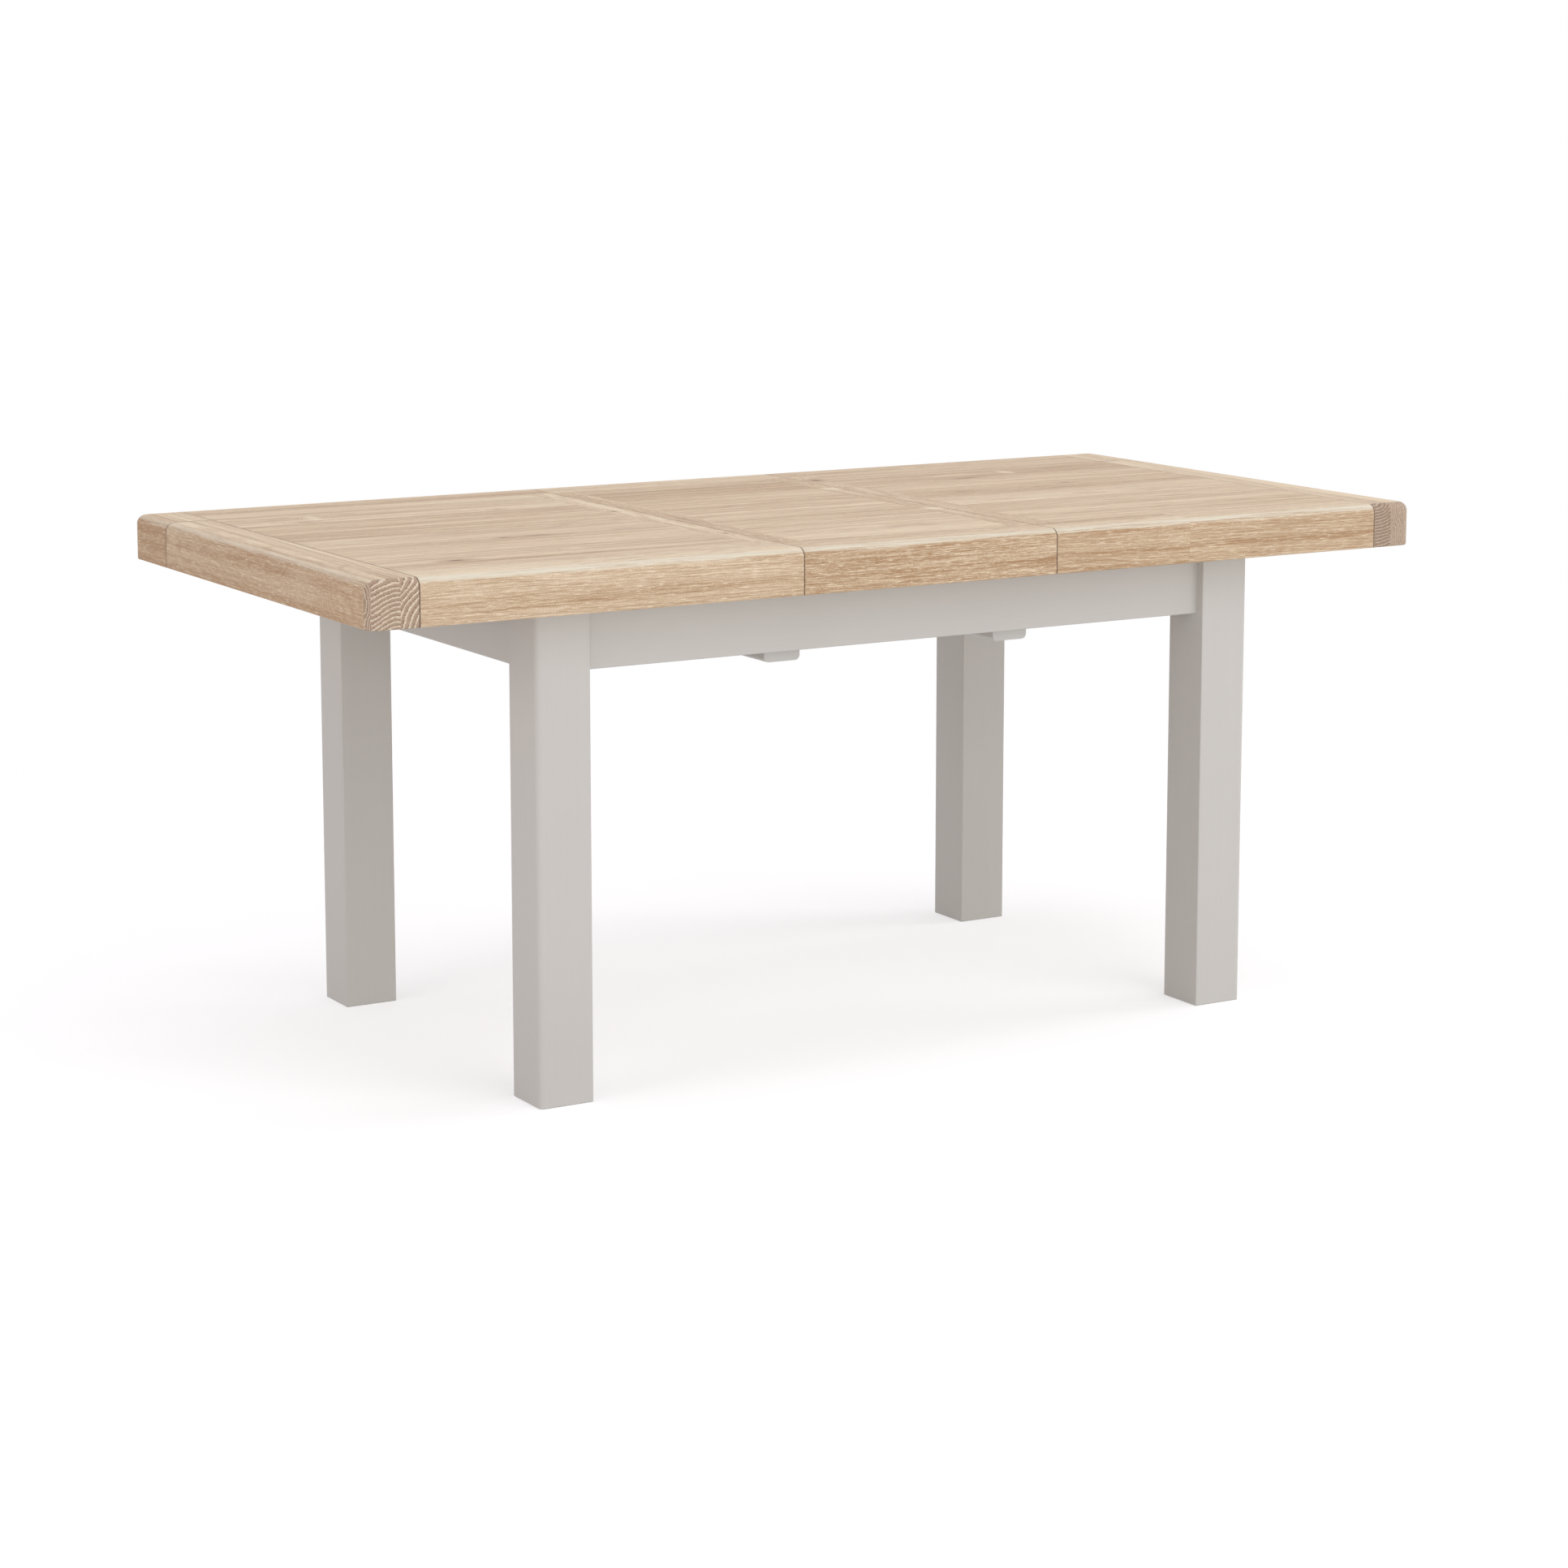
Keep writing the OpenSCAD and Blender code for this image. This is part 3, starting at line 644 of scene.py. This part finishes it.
def zinc(name):
    """Zinc plate with a fine grey bloom."""
    graph = Graph(name)
    bloom = graph.noise(graph.here, scale=BLOOM_SCALE, detail=3.0)
    colour = graph.mix(bloom, darker(ZINC, BLOOM_DARKEST), ZINC)
    roughness = graph.scaled(bloom, BLOOM_ROUGHNESS, ZINC_ROUGHNESS)
    graph.bump(bloom, BLOOM_RELIEF, BLOOM_RELIEF_STRENGTH)
    graph.set(Base_Color=colour, Metallic=1.0, Roughness=roughness)
    return graph.material


def zinc_thread(name):
    """Zinc plate cut with the M8 thread of the leg bolts, which lie along the legs' diagonals, with painted shade
    in the thread's roots.
    """
    graph = Graph(name)
    x, y, _ = graph.separate(graph.here)
    along = graph.times(graph.add(graph.size(x), graph.size(y)), math.sqrt(0.5))
    half = BOLT_PITCH / 2
    crest = graph.over(graph.math("PINGPONG", along, half), half)
    # Painted shade: the thread's roots are darker than its crests.
    colour = graph.mix(crest, darker(ZINC, BOLT_ROOT_SHADE), ZINC)
    roughness = graph.scaled(crest, BOLT_ROUGHNESS_CREST, BOLT_ROUGHNESS)
    graph.bump(crest, BOLT_RELIEF)
    graph.set(Base_Color=colour, Metallic=1.0, Roughness=roughness)
    return graph.material


def dress_frame():
    """Paint, beech and zinc, for all that isn't oak."""
    upright = paint("paint_upright", "Z")
    lengthwise = paint("paint_lengthwise", "X")
    crosswise = paint("paint_crosswise", "Y")
    beech_lengthwise = beech("beech_lengthwise", "X", 1)
    beech_crosswise = beech("beech_crosswise", "Y", 2)
    plate = zinc("zinc")
    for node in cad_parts:
        if node == "leg_bolts":
            dress(node, zinc_thread("zinc_thread"))
        elif node in ("leg_nuts", "leg_washers"):
            dress(node, plate)
        elif node.startswith("leg_"):
            dress(node, upright)
        elif node in ("apron_front", "apron_back"):
            dress(node, lengthwise)
        elif node.startswith(("apron_", "cross_rail_")):
            dress(node, crosswise)
        elif node.startswith("guide_rail_") or "runner" in node:
            dress(node, beech_lengthwise)
        elif node.startswith("corner_block_") or node in ("slide_stops", "leaf_locators") or "batten" in node:
            dress(node, beech_crosswise)


def dress_panels(joints):
    """The three glued panels, whose staves run on from one to the next."""
    edges = (-0.164, -0.114, -0.007, 0.098, 0.191, LONG_SEAM)
    lines = (
        (-0.352, 0.003, 0.30),
        (-0.113, 0.002, -0.25),
        (-0.008, 0.002, -0.15),
        (-0.020, 0.009, 0.10),
        (0.097, 0.002, -0.30),
        (0.106, 0.004, 0.18),
        (0.189, 0.002, -0.10),
    )
    dress_oak(
        "left_panel", "X", 3, edges=edges, pale=(0.55, 0.50, 0.75, 0.20, 0.30, 0.90, 1.10), lines=lines,
        joints=joints["left"], seam=0.45, rough=0.55, vivid=0.75,
        knots=(
            (-0.703, -0.302, 0.015, 0.006, 1.2, 0.0),
            (-0.533, -0.110, 0.010, 0.004, 0.7, 0.0),
            (-0.478, -0.108, 0.028, 0.010, 0.42, 0.0),
            (-0.330, -0.105, 0.030, 0.012, 0.20, 0.1),
            (-0.388, 0.206, 0.008, 0.005, 0.45, 0.0),
            (-0.330, 0.212, 0.070, 0.010, 0.0, 0.35),
            (-0.710, 0.205, 0.022, 0.006, 0.45, 0.0),
            (-0.678, 0.246, 0.008, 0.020, 0.0, 0.7),
            (-0.500, -0.266, 0.012, 0.006, 0.0, 0.5),
        ),
    )
    dress_oak(
        "leaf_panel", "X", 23, edges=edges, pale=(0.68, 0.50, 0.50, 0.23, 0.36, -0.18, -0.12),
        lines=lines + ((-0.114, 0.004, -0.30), (-0.163, 0.003, -0.25), (-0.155, 0.004, 0.15)),
        joints=joints["leaf"], seam=0.9, rough=0.55, vivid=0.30,
        knots=((-0.130, -0.260, 0.022, 0.004, 0.4, 0.0),),
    )
    dress_oak(
        "right_panel", "X", 43, edges=edges, pale=(0.50, 0.40, 0.80, 0.10, 0.25, 0.06, 0.60),
        lines=lines + ((-0.114, 0.003, -0.20),), joints=joints["right"], seam=0.6, rough=0.55, vivid=0.22,
        knots=(
            (0.582, 0.246, 0.008, 0.020, 0.0, 0.7),
            (0.490, 0.250, 0.040, 0.007, 0.0, 0.45),
            (0.472, 0.202, 0.034, 0.007, 0.5, 0.0),
            (0.582, 0.066, 0.010, 0.005, 0.6, 0.0),
            (0.362, 0.043, 0.020, 0.006, 0.3, 0.0),
        ),
    )


def dress_lippings(joints):
    """The edge pieces. A darker band runs along their faces at middle height, with paler wood above it.

    The columns are the piece, its seed, how pale it is, its butt joints, the height of the dark band in
    millimetres, how dark that is, and how much the pores show.
    """
    butt = (BUTT_JOINT,)
    for node, seed, tone, splits, middle, dark, rough in (
        ("left_lipping_front", 61, 0.30, (), 20, -0.10, 0.90),
        ("left_lipping_back", 62, 0.00, (), 24, -0.20, 0.80),
        ("leaf_lipping_front", 63, -0.20, (), 23, -0.28, 0.95),
        ("leaf_lipping_back", 64, 0.40, (), 21, -0.20, 0.80),
        ("right_lipping_front", 65, -0.30, butt, 25, -0.25, 0.75),
        ("right_lipping_back", 66, 0.00, butt, 22, -0.20, 0.80),
    ):
        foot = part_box(node)[0].z
        section = node.split("_")[0]
        dark_band = (foot + middle * MM, DARK_BAND_HALF, dark)
        pale_band = (foot + (middle + PALE_BAND_ABOVE) * MM, PALE_BAND_HALF, PALE_BAND_TONE)
        # The edge pieces get a painted highlight on their rounded upper edges, and painted light on their tops.
        dress_oak(
            node, "X", seed, pale=(tone,), splits=splits, after=0.08, lines=(dark_band, pale_band),
            joints=joints[section], rough=rough, edge_highlight=0.90, painted_top_light=0.42 if node.endswith("front") else 0.16,
            vivid=0.3 if section == "leaf" else 0.9, upright=True,
        )


def dress_rails(joints):
    """The four cross pieces at the seams."""
    dress_oak(
        "left_seam_rail", "Y", 71, edges=(-0.246,), pale=(0.40, 1.0), joints=joints["left"], vivid=0.4,
        knots=((0.089, -0.246, 0.005, 0.003, 1.0, 0.0), (-0.229, -0.230, 0.005, 0.003, 0.8, 0.0)),
    )
    dress_oak(
        "leaf_rail_left", "Y", 73, pale=(-0.1,), joints=joints["leaf"], vivid=0.2,
        lines=((-0.184, 0.003, 0.30),), knots=((-0.060, -0.200, 0.040, 0.009, 0.25, 0.0),),
    )
    dress_oak(
        "leaf_rail_right", "Y", 74, pale=(0.2,), joints=joints["leaf"], vivid=0.2,
        lines=((0.184, 0.003, -0.25),),
        knots=(
            (-0.247, 0.178, 0.008, 0.004, 1.0, 0.0),
            (-0.124, 0.202, 0.010, 0.012, 0.0, 0.9),
            (0.181, 0.202, 0.012, 0.012, 0.0, 0.9),
            (-0.170, 0.204, 0.035, 0.005, 0.0, 0.6),
            (0.130, 0.200, 0.040, 0.004, 0.0, 0.6),
        ),
    )
    dress_oak(
        "right_seam_rail", "Y", 75, pale=(0.28,), joints=joints["right"], vivid=0.2,
        knots=((0.297, 0.242, 0.010, 0.008, 1.0, 0.0),),
    )


def dress_cleats(joints):
    """The end pieces, each of two staves with another tone along the outer corner."""
    low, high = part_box("left_cleat")
    corner = low.x + CLEAT_STRIP
    joint = low.x + 46.5 * MM
    # The cleats' rounded upper edges get a fainter painted highlight.
    dress_oak(
        "left_cleat", "Y", 81, edges=(corner, joint), pale=(-0.40, 0.72, 0.85), splits=(LONG_SEAM,), after=-0.06,
        joints=joints["left"], seam=0.35, seam_reach=5 * MM, rough=0.60, edge_highlight=0.45, vivid=1.0, upright=True,
        piths=(
            (low.x - 0.14, low.z + 0.03, 1.9 * MM, 0.15),
            (joint - 0.004, low.z - 0.045, 6.5 * MM, 0.05),
            (joint + 0.095, low.z - 0.015, 7.5 * MM, 0.0),
        ),
        knots=((-0.225, low.z + 0.036, 0.030, 0.014, 0.0, 0.15),),
    )
    low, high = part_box("right_cleat")
    corner = high.x - CLEAT_STRIP
    joint = high.x - 42 * MM
    dress_oak(
        "right_cleat", "Y", 83, edges=(joint, corner), pale=(1.15, 1.15, 0.60), splits=(LONG_SEAM,),
        joints=joints["right"], seam=0.35, seam_reach=5 * MM, rough=0.80, edge_highlight=0.45, vivid=1.0,
        piths=(
            (joint - 0.03, low.z + 0.10, 5.0 * MM, 0.40),
            (joint + 0.10, low.z + 0.02, 2.6 * MM, 0.15),
            (high.x + 0.14, low.z + 0.03, 1.9 * MM, 0.15),
        ),
    )


def dress_top():
    """Oak for the top, with painted shade as dark lines where the cleats and the leaf meet the half tops."""
    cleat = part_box("right_cleat")[0].x + JOINT_INSET
    seam = (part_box("right_seam_rail")[0].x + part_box("leaf_rail_right")[1].x) / 2
    joints = {"left": (-cleat, -seam), "leaf": (-seam, seam), "right": (seam, cleat)}
    dress_panels(joints)
    dress_lippings(joints)
    dress_rails(joints)
    dress_cleats(joints)


def screw_head(build, place, outward, turn):
    """A pan head with a cross recess, standing on a face at place."""
    upright = Vector(outward).to_track_quat("Z", "Y").to_matrix().to_4x4()
    seat = Matrix.Translation(place) @ upright @ Matrix.Rotation(turn, 4, "Z")
    quarter = HEAD_POINTS // 4
    cross = tuple(part * RECESS_REACH for part in RECESS_QUARTER)
    rings = [((wide * HEAD_RADIUS,) * quarter, high * HEAD_HEIGHT) for wide, high in HEAD_PROFILE]
    rings.append((cross, HEAD_HEIGHT))
    rings.append((tuple(RECESS_TAPER * part for part in cross), RECESS_FLOOR * HEAD_HEIGHT))
    loops = []
    for reaches, height in rings:
        points = []
        for step in range(HEAD_POINTS):
            angle = math.tau * step / HEAD_POINTS
            reach = reaches[step % quarter]
            spot = Vector((reach * math.cos(angle), reach * math.sin(angle), height))
            points.append(build.verts.new(seat @ spot))
        loops.append(points)
    for lower, upper in zip(loops, loops[1:]):
        for step in range(HEAD_POINTS):
            after = (step + 1) % HEAD_POINTS
            build.faces.new((lower[step], lower[after], upper[after], upper[step]))
    build.faces.new(reversed(loops[0]))
    build.faces.new(loops[-1])


def add_screws(name, body, spots, material):
    """One piece with a screw head at each (place, outward) of spots."""
    build = bmesh.new()
    for number, (place, outward) in enumerate(spots):
        screw_head(build, place, outward, HEAD_TURN * number)
    mesh = bpy.data.meshes.new(name)
    build.to_mesh(mesh)
    build.free()
    mesh.polygons.foreach_set("use_smooth", [True] * len(mesh.polygons))
    mesh.set_sharp_from_angle(angle=HEAD_SHARP)
    mesh.materials.append(material)
    piece = bpy.data.objects.new(name, mesh)
    bpy.context.collection.objects.link(piece)
    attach(piece, body)


def middle_of(node):
    low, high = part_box(node)
    return (low + high) / 2


def batten_spots(node):
    """Spots for the screws under a batten."""
    middle = middle_of(node)
    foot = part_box(node)[0].z
    return [(Vector((middle.x, middle.y + y, foot)), DOWN) for y in BATTEN_SCREWS]


def half_top_screws(side, plate):
    spots = batten_spots(side + "_inner_batten") + batten_spots(side + "_outer_batten")
    for end in ("front", "back"):
        low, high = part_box("%s_runner_%s" % (side, end))
        y = low.y + SIDE_SCREW if end == "back" else high.y - SIDE_SCREW
        for above in ("_seam_rail", "_inner_batten"):
            spots.append((Vector((middle_of(side + above).x, y, low.z)), DOWN))
    add_screws("screws_%s_half" % side, side + "_half", spots, plate)


def leaf_screws(plate):
    spots = batten_spots("leaf_batten_left") + batten_spots("leaf_batten_right")
    low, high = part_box("leaf_locators")
    batten = middle_of("leaf_batten_right").x
    for x in (-1, 1):
        for y in (-1, 1):
            spots.append((Vector((x * batten, y * (high.y - SIDE_SCREW), low.z)), DOWN))
    add_screws("screws_leaf", "leaf", spots, plate)


def frame_screws(plate):
    spots = []
    for end in ("front", "back"):
        for side in ("left", "right"):
            middle = middle_of("corner_block_%s_%s" % (end, side))
            inward = Vector((-math.copysign(1, middle.x), -math.copysign(1, middle.y), 0)).normalized()
            along = Vector((inward.y, -inward.x, 0))
            spots += [(middle + along * reach, inward) for reach in (-BLOCK_SCREW, BLOCK_SCREW)]
    low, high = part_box("slide_stops")
    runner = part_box("right_runner_back")[0].y
    for x in (-1, 1):
        for y in (-1, 1):
            place = (x * (high.x - STOP_SCREW), y * runner, (low.z + high.z) / 2)
            spots.append((Vector(place), (0, -y, 0)))
    add_screws("screws_frame", "frame", spots, plate)


def screws():
    plate = zinc("zinc_screws")
    half_top_screws("left", plate)
    half_top_screws("right", plate)
    leaf_screws(plate)
    frame_screws(plate)


def seen_directly(tree):
    """1 for what the camera, gloss and clear things see, and 0 for light that bounces."""
    path = tree.nodes.new("ShaderNodeLightPath")
    seen = path.outputs["Is Camera Ray"]
    for ray in ("Is Glossy Ray", "Is Transmission Ray"):
        either = tree.nodes.new("ShaderNodeMath")
        either.operation = "MAXIMUM"
        tree.links.new(seen, either.inputs[0])
        tree.links.new(path.outputs[ray], either.inputs[1])
        seen = either.outputs[0]
    return seen


def stage():
    """A flat pale floor. Seen directly it glows a little, and it fades to plain white away from the table."""
    mesh = bpy.data.meshes.new("floor")
    corners = [(x * FLOOR_REACH, y * FLOOR_REACH, 0) for x, y in ((-1, -1), (1, -1), (1, 1), (-1, 1))]
    mesh.from_pydata(corners, [], [(0, 1, 2, 3)])
    floor = bpy.data.objects.new("floor", mesh)
    bpy.context.collection.objects.link(floor)
    graph = Graph("floor")
    graph.set(Base_Color=FLOOR_WHITE, Roughness=0.9, Specular_IOR_Level=0.0)
    x, y, _ = graph.separate(graph.here)
    tree = graph.tree
    glow = tree.nodes.new("ShaderNodeEmission")
    glow.inputs["Color"].default_value = (*FLOOR_GLOW, 1.0)
    glow.inputs["Strength"].default_value = FLOOR_GLOW_STRENGTH
    white = tree.nodes.new("ShaderNodeEmission")
    lit = tree.nodes.new("ShaderNodeAddShader")
    fade = tree.nodes.new("ShaderNodeMixShader")
    choose = tree.nodes.new("ShaderNodeMixShader")
    tree.links.new(graph.shader.outputs["BSDF"], lit.inputs[0])
    tree.links.new(glow.outputs["Emission"], lit.inputs[1])
    tree.links.new(graph.rise(graph.distance(x, y), *FLOOR_FADE), fade.inputs["Fac"])
    tree.links.new(lit.outputs[0], fade.inputs[1])
    tree.links.new(white.outputs["Emission"], fade.inputs[2])
    tree.links.new(seen_directly(tree), choose.inputs["Fac"])
    tree.links.new(graph.shader.outputs["BSDF"], choose.inputs[1])
    tree.links.new(fade.outputs[0], choose.inputs[2])
    tree.links.new(choose.outputs[0], graph.surface.inputs["Surface"])
    floor.data.materials.append(graph.material)


def lamp(name, place, aim, size, power, tint):
    data = bpy.data.lights.new(name, "AREA")
    data.shape = "RECTANGLE"
    data.size, data.size_y = size
    data.energy = power
    data.color = tint
    piece = bpy.data.objects.new(name, data)
    piece.location = place
    piece.rotation_euler = (Vector(aim) - Vector(place)).to_track_quat("-Z", "Y").to_euler()
    bpy.context.collection.objects.link(piece)


def light():
    """A dim even sky that is white where it is seen directly, and the lamps."""
    world = bpy.data.worlds.new("world")
    bpy.context.scene.world = world
    world.use_nodes = True
    tree = world.node_tree
    sky = tree.nodes.new("ShaderNodeMix")
    sky.data_type = "RGBA"
    dim, white = (socket for socket in sky.inputs if socket.type == "RGBA")
    dim.default_value = (*SKY_DIM, 1.0)
    white.default_value = (*WHITE, 1.0)
    colour = next(socket for socket in sky.outputs if socket.type == "RGBA")
    tree.links.new(seen_directly(tree), sky.inputs["Factor"])
    tree.links.new(colour, tree.nodes["Background"].inputs["Color"])
    for row in LAMPS:
        lamp(*row)


def camera():
    data = bpy.data.cameras.new("camera")
    data.lens = CAMERA_LENS
    data.sensor_width = CAMERA_SENSOR
    data.shift_y = CAMERA_SHIFT_UP
    data.clip_end = CAMERA_FAR
    view = bpy.data.objects.new("camera", data)
    view.location = CAMERA_PLACE
    view.rotation_euler = (math.pi / 2 - CAMERA_PITCH, 0.0, -CAMERA_YAW)
    bpy.context.collection.objects.link(view)
    bpy.context.scene.camera = view
    bpy.context.scene.view_settings.view_transform = "Standard"


camera()
light()
stage()
dress_frame()
dress_top()
screws()
